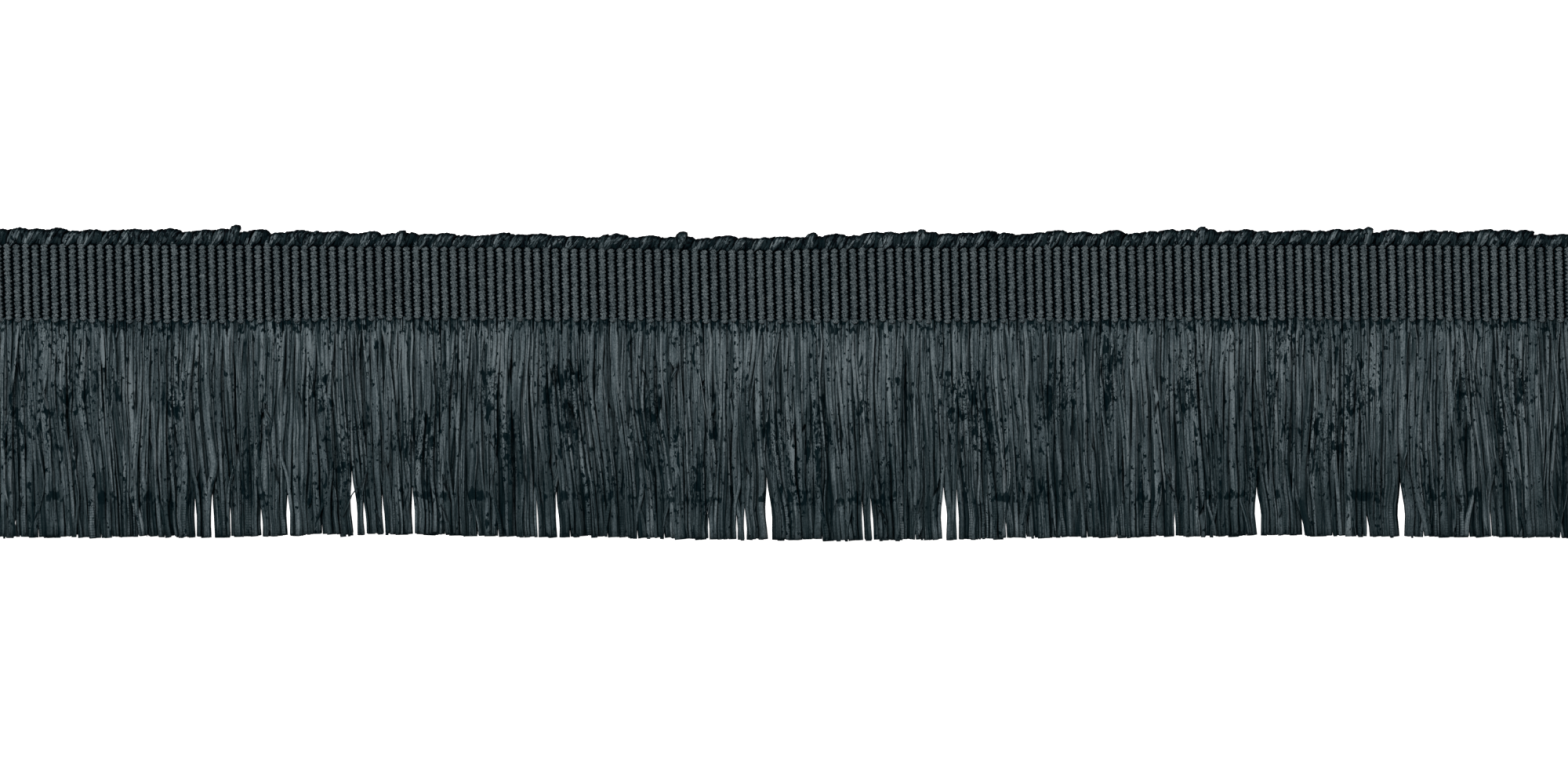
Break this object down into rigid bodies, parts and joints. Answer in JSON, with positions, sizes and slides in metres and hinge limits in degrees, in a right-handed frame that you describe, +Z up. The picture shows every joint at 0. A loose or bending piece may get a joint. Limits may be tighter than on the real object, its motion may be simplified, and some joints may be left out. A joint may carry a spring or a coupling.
{
  "type": "raffia fringe trim",
  "caption": "Dark raffia fringe trim: a ribbed woven heading with small loops along its top edge and a straight, flat cut fringe hanging below it.",
  "frame": {"origin": "under the middle of the trim's length and height, on the surface that it lies on", "axes": "+X along the trim, +Y from the fringe's tips to the loops, +Z up out of its face"},
  "size_m": [0.269, 0.0514, 0.0017],
  "materials": {
    "heading_thread": "matte warp threads, charcoal grey",
    "raffia": "satin raffia strips, dark slate grey",
    "raffia_shaded": "satin raffia strips in the shade of the front layer"
  },
  "bodies": {
    "root": {"heading": "heading_thread", "loop_edge": "raffia", "fringe_back": "raffia_shaded", "fringe_front": "raffia"}
  },
  "joints": []
}
